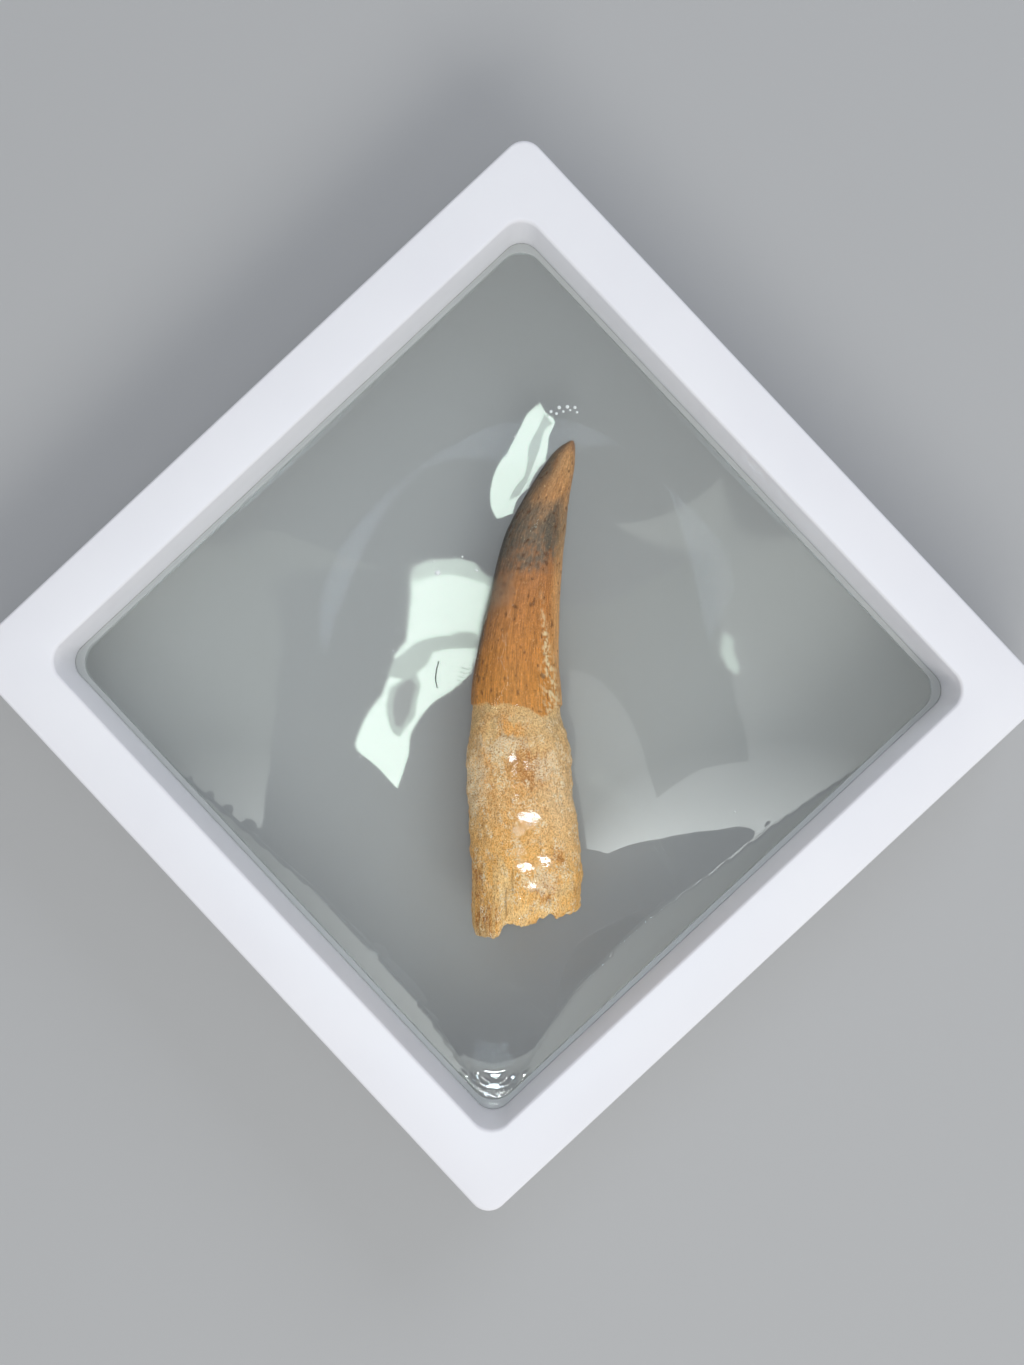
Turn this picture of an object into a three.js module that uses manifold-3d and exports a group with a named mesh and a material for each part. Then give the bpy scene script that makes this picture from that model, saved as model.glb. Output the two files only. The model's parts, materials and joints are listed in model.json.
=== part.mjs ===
// A fossil spinosaurus tooth held between two stretched clear films in a square display frame.
// Units are millimetres. The frame lies flat: its back face is on z = 0 and its front face looks up.
// The frame's halves part at mid depth and open on a flush hinge along the +Y side.
import * as THREE from "three";
import { mergeVertices } from "three/addons/utils/BufferGeometryUtils.js";
import Module from "manifold-3d";

const wasm = await Module();
wasm.setup();

// Driving dimensions of the display frame
const frameSide = 110;
const frameDepth = 20;
const outerRadius = 2.4;
const faceWidth = 7.8;
const faceEdgeRadius = 4.9;
const windowRadius = 4.4;
const wallRun = 1.6;
const edgeRound = 0.7;
const partingPlay = 0.05;

// Driving dimensions of the films
const filmSide = 102;
const filmThickness = 0.3;
const filmRimWidth = 0.75;
const filmRimHeight = 0.9;
const filmToothGap = 0.5;

// Driving dimensions of the hinge, which lies inside the +Y wall
const hingeInset = 1.4;
const barrelRadius = 1.3;
const pinRadius = 0.6;
const knuckleLength = 8;
const earLength = 3.5;
const hingeSpread = 66;
const hingePlay = 0.3;

// Driving dimensions of the tooth, whose tip points at the frame's -X +Y corner
const toothTurn = THREE.MathUtils.degToRad(46.96);
const toothTipReach = 34.5;
const crownLength = 38.5;
const crownFlatness = 0.86;
const rootFlatness = 0.8;

// Sizes that follow from the driving ones
const half = frameSide / 2;
const midDepth = frameDepth / 2;
const wallInset = faceWidth + wallRun;
const windowHalf = half - wallInset;
const clearHalf = windowHalf - filmRimWidth;
const hingeY = half - hingeInset;
const seatHalf = filmSide / 2 + 0.2;
const cornerSteps = 8;

const plasticWhite = new THREE.MeshStandardMaterial({ color: 0xe4e4ea, roughness: 0.38, metalness: 0 });
const clearFilm = new THREE.MeshStandardMaterial({
  color: 0xf2f8f6, roughness: 0.06, metalness: 0, transparent: true, opacity: 0.25,
});
const fossilBrown = new THREE.MeshStandardMaterial({ color: 0xb07a42, roughness: 0.55, metalness: 0 });

// Points of a square with rounded corners, anticlockwise from the -X +Y corner.
// Every contour has as many points, so that two of them can be joined side by side.
function squareContour(halfSize, radius, z) {
  const points = [];
  for (let corner = 0; corner < 4; corner++) {
    const start = Math.PI / 2 + corner * Math.PI / 2;
    const middle = start + Math.PI / 4;
    const reach = (halfSize - radius) * Math.SQRT2;
    for (let step = 0; step <= cornerSteps; step++) {
      const angle = start + step / cornerSteps * Math.PI / 2;
      points.push(new THREE.Vector3(
        reach * Math.cos(middle) + radius * Math.cos(angle),
        reach * Math.sin(middle) + radius * Math.sin(angle),
        z,
      ));
    }
  }
  return points;
}

// Joins closed rings of equal length, one after the other.
function skinRings(rings, closed) {
  const count = rings[0].length;
  const positions = rings.flat().flatMap((point) => point.toArray());
  const faces = [];
  const last = closed ? rings.length : rings.length - 1;
  for (let i = 0; i < last; i++) {
    const here = i * count;
    const next = (i + 1) % rings.length * count;
    for (let j = 0; j < count; j++) {
      const k = (j + 1) % count;
      faces.push(here + j, here + k, next + k, here + j, next + k, next + j);
    }
  }
  return { positions, faces };
}

function geometryOf(positions, faces) {
  const geometry = new THREE.BufferGeometry();
  geometry.setAttribute("position", new THREE.Float32BufferAttribute(positions, 3));
  geometry.setIndex(faces);
  geometry.computeVertexNormals();
  return geometry;
}

function solidOf(geometry) {
  const bare = geometry.clone();
  bare.deleteAttribute("normal");
  bare.deleteAttribute("uv");
  const merged = mergeVertices(bare, 1e-4);
  return new wasm.Manifold(new wasm.Mesh({
    numProp: 3,
    vertProperties: merged.attributes.position.array,
    triVerts: new Uint32Array(merged.index.array),
  }));
}

function geometryFromSolid(solid) {
  const mesh = solid.getMesh();
  return geometryOf(Array.from(mesh.vertProperties), Array.from(mesh.triVerts));
}

// A bar along X with the outline given as [y, z] points.
function barAlongX(outline, length) {
  const shape = new THREE.Shape(outline.map(([y, z]) => new THREE.Vector2(y, z)));
  const bar = new THREE.ExtrudeGeometry(shape, { depth: length, bevelEnabled: false });
  const turn = new THREE.Matrix4().makeBasis(
    new THREE.Vector3(0, 1, 0), new THREE.Vector3(0, 0, 1), new THREE.Vector3(1, 0, 0),
  );
  return solidOf(bar.applyMatrix4(turn).translate(-length / 2, 0, 0));
}

// A round bar on the hinge axis, centred at x.
function barrel(x, radius, length) {
  const cylinder = new THREE.CylinderGeometry(radius, radius, length, 16);
  return solidOf(cylinder.rotateZ(Math.PI / 2).translate(x, hingeY, midDepth));
}

// One half of the frame as a plain ring. up is 1 for the front half and -1 for the back half.
function plainRing(up) {
  const profile = [
    [0, partingPlay, outerRadius],
    [0, midDepth - edgeRound, outerRadius],
    [edgeRound * 0.3, midDepth - edgeRound * 0.3, outerRadius],
    [edgeRound, midDepth, outerRadius],
    [faceWidth - edgeRound * 0.5, midDepth, faceEdgeRadius],
    [faceWidth + edgeRound * 0.2, midDepth - edgeRound * 0.25, faceEdgeRadius],
    [faceWidth + edgeRound * 0.5, midDepth - edgeRound * 0.8, faceEdgeRadius],
    [wallInset - edgeRound * 0.3, partingPlay + filmThickness + 0.5, windowRadius],
    [wallInset, partingPlay + filmThickness, windowRadius],
    [half - seatHalf, partingPlay + filmThickness, 1],
    [half - seatHalf, partingPlay, 1],
  ];
  const rings = profile.map(([inset, lift, radius]) =>
    squareContour(half - inset, radius, midDepth + up * lift));
  if (up < 0) rings.reverse();
  const { positions, faces } = skinRings(rings, true);
  return solidOf(geometryOf(positions, faces));
}

const hingeCentres = [-hingeSpread / 2, hingeSpread / 2];
const earOffset = knuckleLength / 2 + hingePlay + earLength / 2;

// The parting edge on the hinge side is bevelled, so that the front half can swing up by a right angle.
function hingeBevel(up) {
  const play = hingePlay / 2;
  const past = hingeInset + 1;
  return barAlongX([
    [hingeY - play, midDepth],
    [hingeY + past, midDepth + up * (past + play)],
    [hingeY + past, midDepth - up],
    [hingeY - play, midDepth - up],
  ], frameSide + 2);
}

// A shallow scoop for a fingernail, across the parting line opposite the hinge.
function nailScoop() {
  const scoop = new THREE.SphereGeometry(1, 20, 10).scale(9, 0.9, 2.2);
  return solidOf(scoop.translate(0, -half, midDepth));
}

function frontFrame() {
  let ring = plainRing(1).subtract(hingeBevel(1)).subtract(nailScoop());
  for (const centre of hingeCentres) {
    for (const side of [-1, 1]) {
      const earX = centre + side * earOffset;
      ring = ring.subtract(barrel(earX, barrelRadius + hingePlay, earLength + 2 * hingePlay));
    }
    ring = ring.add(barrel(centre, barrelRadius, knuckleLength));
    ring = ring.add(barrel(centre, pinRadius, knuckleLength + 2 * hingePlay + earLength));
  }
  return geometryFromSolid(ring);
}

function backFrame() {
  const holeRadius = pinRadius + hingePlay / 2;
  const holeReach = knuckleLength + 4 * hingePlay + earLength;
  let ring = plainRing(-1).subtract(hingeBevel(-1)).subtract(nailScoop());
  for (const centre of hingeCentres) {
    ring = ring.subtract(barrel(centre, barrelRadius + hingePlay, knuckleLength + 2 * hingePlay));
    for (const side of [-1, 1]) {
      ring = ring.add(barrel(centre + side * earOffset, barrelRadius, earLength));
    }
    ring = ring.subtract(barrel(centre, holeRadius, holeReach));
  }
  return geometryFromSolid(ring);
}

// The tooth is laid out along its own Y axis, tip up. Each station gives the distance from the tip,
// the middle's place across and half the width there.
const toothLength = 72.8;
const toothStations = [
  [0, 9.4, 0.3],
  [0.9, 8.8, 1.2],
  [4, 7.5, 2.2],
  [9, 5.5, 3.3],
  [13.5, 4.1, 4.3],
  [19.5, 3, 4.8],
  [27, 1.9, 5.5],
  [37, 1.3, 6.3],
  [41.2, 1.6, 6.7],
  [45.4, 1.6, 7.6],
  [49, 1.6, 7.6],
  [54.7, 2.3, 8],
  [63.5, 3.1, 8.35],
  [65.9, 2.8, 8.05],
  [70, 2.7, 7.9],
];
// The broken end of the root: places across, and the distance from the tip to the break there.
const breakPoints = [
  [-5.2, 71.4],
  [-4.4, 72.8],
  [-1.4, 72.8],
  [-0.7, 71.4],
  [0.3, 70.8],
  [4.1, 70.8],
  [4.9, 69.7],
  [10.6, 69.1],
];
const toothSides = 28;
const rootEndStart = 63;
const breakStart = 69.8;
const breakHollow = 1.6;
const breakRoughness = 0.5;
const enamelLedge = 0.22;

// Straight interpolation in a list of rows, by their first number.
function readRows(rows, at, column) {
  const last = rows.length - 1;
  if (at <= rows[0][0]) return rows[0][column];
  if (at >= rows[last][0]) return rows[last][column];
  const i = rows.findIndex((row) => row[0] > at) - 1;
  const share = (at - rows[i][0]) / (rows[i + 1][0] - rows[i][0]);
  return rows[i][column] + share * (rows[i + 1][column] - rows[i][column]);
}

// As readRows, eased over a window about the place, so that the sides run smoothly.
function readSmooth(rows, at, column) {
  const reach = Math.min(2.2, at * 0.6);
  let sum = 0;
  for (let step = -2; step <= 2; step++) sum += readRows(rows, at + reach * step / 2, column);
  return sum / 5;
}

function toothSection(along) {
  const halfWidth = readSmooth(toothStations, along, 2);
  const flatness = THREE.MathUtils.lerp(
    crownFlatness, rootFlatness, THREE.MathUtils.smoothstep(along, crownLength - 4, crownLength + 12),
  );
  return { middle: readSmooth(toothStations, along, 1), halfWidth, halfDepth: halfWidth * flatness };
}

// How far the surface stands out of the plain section: keels on the crown, an enamel edge, lumps on the root.
function toothRelief(along, angle) {
  const onRoot = THREE.MathUtils.smoothstep(along, crownLength, crownLength + 3);
  const keel = 0.16 * Math.pow(Math.abs(Math.cos(angle)), 24) * (1 - onRoot) * Math.min(1, along / 6);
  const ledge = along < crownLength && along > crownLength - 6 ? enamelLedge * (along - crownLength + 6) / 6 : 0;
  const lumps = 0.16 * Math.sin(0.62 * along + 2 * angle) + 0.12 * Math.sin(1.15 * along - 3 * angle + 1);
  return keel + ledge + lumps * onRoot;
}

function toothGeometry() {
  const rings = [];
  const stops = [0, 0.5, 1.2, 2.2, 3.6];
  for (let along = 5.5; along < crownLength - 0.4; along += 2.5) stops.push(along);
  stops.push(crownLength - 0.05, crownLength + 0.35);
  for (let along = crownLength + 2; along < rootEndStart; along += 2.1) stops.push(along);
  stops.push(rootEndStart, 65.4, 67.6, breakStart);
  const ringAt = (along, shrink, share) => {
    const { middle, halfWidth, halfDepth } = toothSection(along);
    const ring = [];
    for (let side = 0; side < toothSides; side++) {
      const angle = side / toothSides * 2 * Math.PI;
      const relief = toothRelief(along, angle);
      const across = middle + shrink * (halfWidth + relief) * Math.cos(angle);
      const lift = shrink * (halfDepth + relief) * Math.sin(angle);
      const uneven = breakRoughness * Math.abs(Math.sin(lift * 0.9 + 0.4));
      const ragged = readRows(breakPoints, across, 1) - uneven;
      const reached = THREE.MathUtils.lerp(along, ragged - breakHollow * (1 - shrink), share);
      ring.push(new THREE.Vector3(across, toothTipReach - reached, lift));
    }
    return ring;
  };
  for (const along of stops) {
    rings.push(ringAt(along, 1, THREE.MathUtils.smoothstep(along, rootEndStart, breakStart)));
  }
  rings.push(ringAt(breakStart, 0.72, 1), ringAt(breakStart, 0.36, 1));
  const { positions, faces } = skinRings(rings, false);
  const tip = positions.length / 3;
  positions.push(toothStations[0][1] + 0.1, toothTipReach + 0.15, 0);
  const end = tip + 1;
  positions.push(toothSection(breakStart).middle, toothTipReach - breakStart + 1, 0);
  const lastRing = (rings.length - 1) * toothSides;
  for (let j = 0; j < toothSides; j++) {
    const k = (j + 1) % toothSides;
    faces.push(tip, k, j);
    faces.push(end, lastRing + j, lastRing + k);
  }
  return geometryOf(positions, faces);
}

// How far the tooth's surface stands from the parting plane at a place in the tooth's own axes.
function toothHeight(across, y) {
  const along = toothTipReach - y;
  if (along < -0.2 || along > toothLength) return 0;
  const { middle, halfWidth, halfDepth } = toothSection(Math.max(along, 0));
  const share = (across - middle) / (halfWidth + 0.2);
  return Math.abs(share) < 1 ? halfDepth * Math.sqrt(1 - share * share) : 0;
}

// A stretched film takes the shape that evens itself out wherever the tooth doesn't lift it.
// It is relaxed on a grid in the frame's axes, and gives the film's rise above its rim.
function relaxFilm() {
  const cells = 76;
  const pitch = 2 * clearHalf / cells;
  const count = cells + 1;
  const floor = new Float64Array(count * count);
  const rise = new Float64Array(count * count);
  const reach = 0.8;
  for (let i = 1; i < cells; i++) {
    for (let j = 1; j < cells; j++) {
      const x = i * pitch - clearHalf;
      const y = j * pitch - clearHalf;
      const across = x * Math.cos(toothTurn) + y * Math.sin(toothTurn);
      const up = y * Math.cos(toothTurn) - x * Math.sin(toothTurn);
      let height = 0;
      for (const [a, b] of [[0, 0], [1, 0], [-1, 0], [0, 1], [0, -1]]) {
        height = Math.max(height, toothHeight(across + a * reach, up + b * reach));
      }
      floor[i * count + j] = height > 0 ? height + filmToothGap : 0;
      rise[i * count + j] = floor[i * count + j];
    }
  }
  const overshoot = 1.85;
  for (let round = 0; round < 260; round++) {
    for (let i = 1; i < cells; i++) {
      for (let j = 1; j < cells; j++) {
        const here = i * count + j;
        const mean = (rise[here - 1] + rise[here + 1] + rise[here - count] + rise[here + count]) / 4;
        rise[here] = Math.max(floor[here], rise[here] + overshoot * (mean - rise[here]));
      }
    }
  }
  return (x, y) => {
    const gx = THREE.MathUtils.clamp((x + clearHalf) / pitch, 0, cells - 1e-6);
    const gy = THREE.MathUtils.clamp((y + clearHalf) / pitch, 0, cells - 1e-6);
    const i = Math.floor(gx);
    const j = Math.floor(gy);
    const a = gx - i;
    const b = gy - j;
    const at = (p, q) => rise[p * count + q];
    return (1 - a) * ((1 - b) * at(i, j) + b * at(i, j + 1)) + a * ((1 - b) * at(i + 1, j) + b * at(i + 1, j + 1));
  };
}

// The film's plan: rows across the tooth, and rings from their edge out to the rim and the bonded border.
const filmRows = 17;
const filmColumns = [-1, -0.82, -0.5, 0, 0.5, 0.82, 1];
const filmRingShares = [0.1, 0.25, 0.45, 0.7, 1];

function filmPlan() {
  const place = (across, y) => new THREE.Vector2(across, y).rotateAround(new THREE.Vector2(), toothTurn);
  const margin = 1.4;
  const grid = [];
  for (let row = 0; row < filmRows; row++) {
    const share = (1 - Math.cos(row / (filmRows - 1) * Math.PI)) / 2;
    const spread = THREE.MathUtils.lerp(row / (filmRows - 1), share, 0.5);
    const along = THREE.MathUtils.lerp(-margin, toothLength + margin, spread);
    const { middle, halfWidth } = toothSection(THREE.MathUtils.clamp(along, 0.9, toothLength));
    grid.push(filmColumns.map((c) => place(middle + c * (halfWidth + margin), toothTipReach - along)));
  }
  const lastRow = filmRows - 1;
  const lastColumn = filmColumns.length - 1;
  const edge = [];
  const middleColumn = lastColumn / 2;
  for (let c = middleColumn; c > 0; c--) edge.push([0, c]);
  for (let r = 0; r < lastRow; r++) edge.push([r, 0]);
  for (let c = 0; c < lastColumn; c++) edge.push([lastRow, c]);
  for (let r = lastRow; r > 0; r--) edge.push([r, lastColumn]);
  for (let c = lastColumn; c > middleColumn; c--) edge.push([0, c]);
  return { grid, edge };
}

// A contour of a rounded square, walked at even steps from the corner that the tip points at.
function walkContour(halfSize, radius, count) {
  const outline = new THREE.CurvePath();
  const contour = squareContour(halfSize, radius, 0);
  const corner = 4;
  for (let i = 0; i < contour.length; i++) {
    const from = contour[(corner + i) % contour.length];
    const to = contour[(corner + i + 1) % contour.length];
    outline.add(new THREE.LineCurve(new THREE.Vector2(from.x, from.y), new THREE.Vector2(to.x, to.y)));
  }
  return Array.from({ length: count }, (_, i) => outline.getPointAt(i / count));
}

function filmGeometry(up) {
  const riseAt = relaxFilm();
  const { grid, edge } = filmPlan();
  const inside = partingPlay;
  const positions = [];
  const surfaces = [];
  const rimPoints = walkContour(clearHalf, windowRadius - filmRimWidth, edge.length);
  const borderPoints = walkContour(filmSide / 2, 0.8, edge.length);
  for (const offset of [inside + filmThickness, inside]) {
    const first = positions.length / 3;
    const add = (point, rise) => {
      positions.push(point.x, point.y, midDepth + up * (offset + rise));
      return positions.length / 3 - 1;
    };
    const faces = [];
    const ids = grid.map((row) => row.map((point) => add(point, riseAt(point.x, point.y))));
    for (let r = 0; r < filmRows - 1; r++) {
      for (let c = 0; c < filmColumns.length - 1; c++) {
        faces.push(ids[r][c], ids[r + 1][c], ids[r + 1][c + 1], ids[r][c], ids[r + 1][c + 1], ids[r][c + 1]);
      }
    }
    let inner = edge.map(([r, c]) => ids[r][c]);
    for (const share of [...filmRingShares, "border"]) {
      const ring = edge.map(([r, c], i) => {
        if (share === "border") return add(borderPoints[i], 0);
        const point = grid[r][c].clone().lerp(rimPoints[i], share);
        return add(point, share === 1 ? 0 : riseAt(point.x, point.y));
      });
      for (let j = 0; j < ring.length; j++) {
        const k = (j + 1) % ring.length;
        faces.push(inner[j], ring[j], ring[k], inner[j], ring[k], inner[k]);
      }
      inner = ring;
    }
    surfaces.push({ first, faces, border: inner });
  }
  const [outer, under] = surfaces;
  const all = [...outer.faces];
  for (let i = 0; i < under.faces.length; i += 3) {
    all.push(under.faces[i], under.faces[i + 2], under.faces[i + 1]);
  }
  for (let j = 0; j < outer.border.length; j++) {
    const k = (j + 1) % outer.border.length;
    all.push(outer.border[j], under.border[j], under.border[k], outer.border[j], under.border[k], outer.border[k]);
  }
  if (up < 0) for (let i = 0; i < all.length; i += 3) [all[i + 1], all[i + 2]] = [all[i + 2], all[i + 1]];
  const sheet = solidOf(geometryOf(positions, all));
  return geometryFromSolid(sheet.add(filmRim(up)));
}

// The moulded lip that the film is welded to, just inside the foot of the frame's wall.
function filmRim(up) {
  const low = partingPlay + filmThickness / 2;
  const high = partingPlay + filmRimHeight;
  const gap = 0.1;
  const rings = [
    squareContour(windowHalf - gap, windowRadius - gap, midDepth + up * low),
    squareContour(windowHalf - gap, windowRadius - gap, midDepth + up * high),
    squareContour(clearHalf, windowRadius - filmRimWidth, midDepth + up * high),
    squareContour(clearHalf, windowRadius - filmRimWidth, midDepth + up * low),
  ];
  if (up < 0) rings.reverse();
  const { positions, faces } = skinRings(rings, true);
  return solidOf(geometryOf(positions, faces));
}

function piece(name, geometry, material) {
  const mesh = new THREE.Mesh(geometry, material);
  mesh.name = name;
  return mesh;
}

const tooth = piece("tooth", toothGeometry(), fossilBrown);
tooth.rotation.z = toothTurn;
tooth.position.z = midDepth;

const backHalf = new THREE.Group();
backHalf.add(piece("back_frame", backFrame(), plasticWhite));
backHalf.add(piece("back_film", filmGeometry(-1), clearFilm));
backHalf.add(tooth);

const frontHalf = new THREE.Group();
frontHalf.add(piece("front_frame", frontFrame(), plasticWhite.clone()));
frontHalf.add(piece("front_film", filmGeometry(1), clearFilm.clone()));

const framedTooth = new THREE.Group();
framedTooth.add(backHalf, frontHalf);

export default framedTooth;
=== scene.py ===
# %% [markdown]
# # A fossil tooth in a film frame
# The object is a spinosaurus tooth of about 73 mm that floats between two stretched clear films in a
# square white display frame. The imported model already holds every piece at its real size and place.
# This lesson gives the pieces their real surfaces: the grooved enamel and granular root of the fossil,
# the glossy films drawn over it, and the satin plastic of the frame.

# %% Load the frame
import json
import math

import bpy
import numpy as np
from mathutils import Matrix, Vector, bvhtree, noise

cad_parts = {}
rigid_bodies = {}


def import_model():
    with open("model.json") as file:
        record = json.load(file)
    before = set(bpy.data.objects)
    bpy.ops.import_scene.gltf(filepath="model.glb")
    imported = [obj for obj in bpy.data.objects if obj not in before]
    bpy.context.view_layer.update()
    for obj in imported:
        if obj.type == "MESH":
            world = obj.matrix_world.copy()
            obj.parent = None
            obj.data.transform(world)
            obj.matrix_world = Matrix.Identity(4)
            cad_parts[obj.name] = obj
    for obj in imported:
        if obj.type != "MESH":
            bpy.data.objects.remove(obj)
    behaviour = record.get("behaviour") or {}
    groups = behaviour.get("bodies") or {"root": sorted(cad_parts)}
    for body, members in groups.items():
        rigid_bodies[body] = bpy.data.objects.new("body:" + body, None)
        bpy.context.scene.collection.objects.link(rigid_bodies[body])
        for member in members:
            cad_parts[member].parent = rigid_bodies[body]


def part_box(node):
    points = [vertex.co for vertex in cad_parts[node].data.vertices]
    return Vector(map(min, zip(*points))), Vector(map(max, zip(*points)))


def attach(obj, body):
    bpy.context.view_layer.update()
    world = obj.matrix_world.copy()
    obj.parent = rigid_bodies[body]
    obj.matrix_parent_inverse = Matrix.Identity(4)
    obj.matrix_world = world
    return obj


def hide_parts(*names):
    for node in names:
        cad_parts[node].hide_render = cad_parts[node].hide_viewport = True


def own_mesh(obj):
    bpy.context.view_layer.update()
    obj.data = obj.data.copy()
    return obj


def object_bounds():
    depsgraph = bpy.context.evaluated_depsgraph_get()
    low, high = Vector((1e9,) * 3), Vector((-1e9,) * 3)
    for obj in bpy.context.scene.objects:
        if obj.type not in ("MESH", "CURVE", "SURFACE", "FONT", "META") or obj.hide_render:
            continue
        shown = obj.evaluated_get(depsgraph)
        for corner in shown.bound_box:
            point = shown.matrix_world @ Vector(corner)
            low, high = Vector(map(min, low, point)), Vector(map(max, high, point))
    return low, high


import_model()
cad_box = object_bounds()
MM = 0.001

frame_low, frame_high = cad_box
frame_half = frame_high[0]
frame_depth = frame_high[2]
mid_depth = frame_depth / 2
print("frame half side and depth in mm:", frame_half / MM, frame_depth / MM)

# %% [markdown]
# ## The camera
# The photograph was taken from straight above, with the frame lying turned on the table like a
# diamond. A camera could be aimed by a constraint, but a matrix built from three directions is exact
# and easy to read: where it stands, what it looks at and which way is up in the picture.

# %% Place the camera
turn = math.radians(46.96)
picture_right = Vector((math.cos(turn), math.sin(turn), 0))
picture_up = Vector((-math.sin(turn), math.cos(turn), 0))


def on_picture(right_mm, up_mm, z):
    """A point of the scene from its place across and up the picture, in mm from the frame's centre."""
    return picture_right * (right_mm * MM) + picture_up * (up_mm * MM) + Vector((0, 0, z))


camera_distance = 400 * MM
picture_width = 146.3 * MM
camera_data = bpy.data.cameras.new("camera")
camera_data.sensor_fit = "HORIZONTAL"
camera_data.sensor_width = 36
camera_data.lens = camera_data.sensor_width * camera_distance / picture_width
camera_data.clip_start = 0.01
camera = bpy.data.objects.new("camera", camera_data)
bpy.context.scene.collection.objects.link(camera)

looked_at = on_picture(0.85, -1.03, frame_depth)
stands_at = on_picture(7.32, -3.24, frame_depth + camera_distance)
back = (stands_at - looked_at).normalized()
right = picture_up.cross(back).normalized()
camera.matrix_world = Matrix.Translation(stands_at) @ Matrix(
    (right, back.cross(right), back)
).transposed().to_4x4()
bpy.context.scene.camera = camera
print("lens in mm:", round(camera_data.lens, 1))

# %% [markdown]
# ## Small helpers
# Blender's operators act on what is selected and active, so each piece starts with a clean selection.
# A node tree is easier to read when every node is made by one short call that also sets its values.

# %% Selection, modifiers and nodes
def select_only(*objects):
    """Deselects everything else and makes the last object active."""
    for each in bpy.context.scene.objects:
        each.select_set(False)
    for each in objects:
        each.select_set(True)
    bpy.context.view_layer.objects.active = objects[-1]


def clear_selection():
    for each in bpy.context.scene.objects:
        each.select_set(False)


def apply_modifier(piece, kind, **values):
    """Adds a modifier, sets its values and applies it."""
    modifier = piece.modifiers.new(kind.lower(), kind)
    for key, value in values.items():
        setattr(modifier, key, value)
    select_only(piece)
    bpy.ops.object.modifier_apply(modifier=modifier.name)


def coordinates(piece):
    co = np.zeros(len(piece.data.vertices) * 3)
    piece.data.vertices.foreach_get("co", co)
    return co.reshape(-1, 3)


def set_coordinates(piece, co):
    piece.data.vertices.foreach_set("co", np.asarray(co, float).ravel())
    piece.data.update()


def store(piece, name, values):
    """Keeps one number for each vertex, for the material to read."""
    layer = piece.data.attributes.new(name, "FLOAT", "POINT")
    layer.data.foreach_set("value", np.asarray(values, float).ravel())


def smoothstep(x, low, high):
    t = np.clip((x - low) / (high - low), 0, 1)
    return t * t * (3 - 2 * t)


def bump_of(x, centre, width):
    """A soft hill of height 1 about a centre."""
    return np.exp(-(((x - centre) / width) ** 2))


def srgb(red, green, blue):
    """A colour read off a picture, 0 to 255, as the linear colour that Blender works in."""
    shares = [value / 255 for value in (red, green, blue)]
    linear = [s / 12.92 if s <= 0.04045 else ((s + 0.055) / 1.055) ** 2.4 for s in shares]
    return (*linear, 1.0)


class Tree:
    """A material's nodes, made one call at a time."""

    def __init__(self, name):
        self.material = bpy.data.materials.new(name)
        self.material.use_nodes = True
        self.nodes = self.material.node_tree.nodes
        self.links = self.material.node_tree.links
        self.nodes.clear()
        self.output = self.nodes.new("ShaderNodeOutputMaterial")

    def link(self, source, socket):
        self.links.new(source, socket)

    def node(self, kind, inputs=None, **values):
        made = self.nodes.new("ShaderNode" + kind)
        for key, value in values.items():
            setattr(made, key, value)
        for key, value in (inputs or {}).items():
            socket = made.inputs[key]
            if isinstance(value, bpy.types.NodeSocket):
                self.links.new(value, socket)
            else:
                socket.default_value = value
        return made

    def attribute(self, name):
        return self.node("Attribute", attribute_name=name).outputs["Fac"]

    def math(self, operation, first, second=0.0):
        return self.node("Math", {0: first, 1: second}, operation=operation).outputs[0]

    def mix(self, share, first, second):
        made = self.node("Mix", data_type="RGBA")
        for key, value in ((0, share), (6, first), (7, second)):
            if isinstance(value, bpy.types.NodeSocket):
                self.links.new(value, made.inputs[key])
            else:
                made.inputs[key].default_value = value
        return made.outputs[2]

    def span(self, value, low, high, to_low=0.0, to_high=1.0):
        """Reads a value between low and high as a number between to_low and to_high."""
        made = self.node("MapRange", {0: value, 1: low, 2: high, 3: to_low, 4: to_high})
        return made.outputs[0]

    def noise(self, vector, scale, detail=3.0, roughness=0.55):
        made = self.node(
            "TexNoise", {"Vector": vector, "Scale": scale, "Detail": detail, "Roughness": roughness}
        )
        return made.outputs["Fac"]

    def ramp(self, value, stops):
        made = self.node("ValToRGB", {0: value})
        ramp = made.color_ramp
        while len(ramp.elements) < len(stops):
            ramp.elements.new(0.5)
        for element, (place, colour) in zip(ramp.elements, stops):
            element.position = place
            element.color = colour
        return made.outputs["Color"]

    def finish(self, shader):
        self.links.new(shader, self.output.inputs["Surface"])
        return self.material


# %% [markdown]
# ## The tooth: its form
# A spinosaurus tooth is a nearly round cone with a gentle curve, longer than wide, on a root that is
# wider than the crown. Sculpting it would be free but hard to repeat. Extruding a ring along a row of
# stations, as a potter pulls a vase, keeps every width true, and subdivision then smooths between them.

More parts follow.
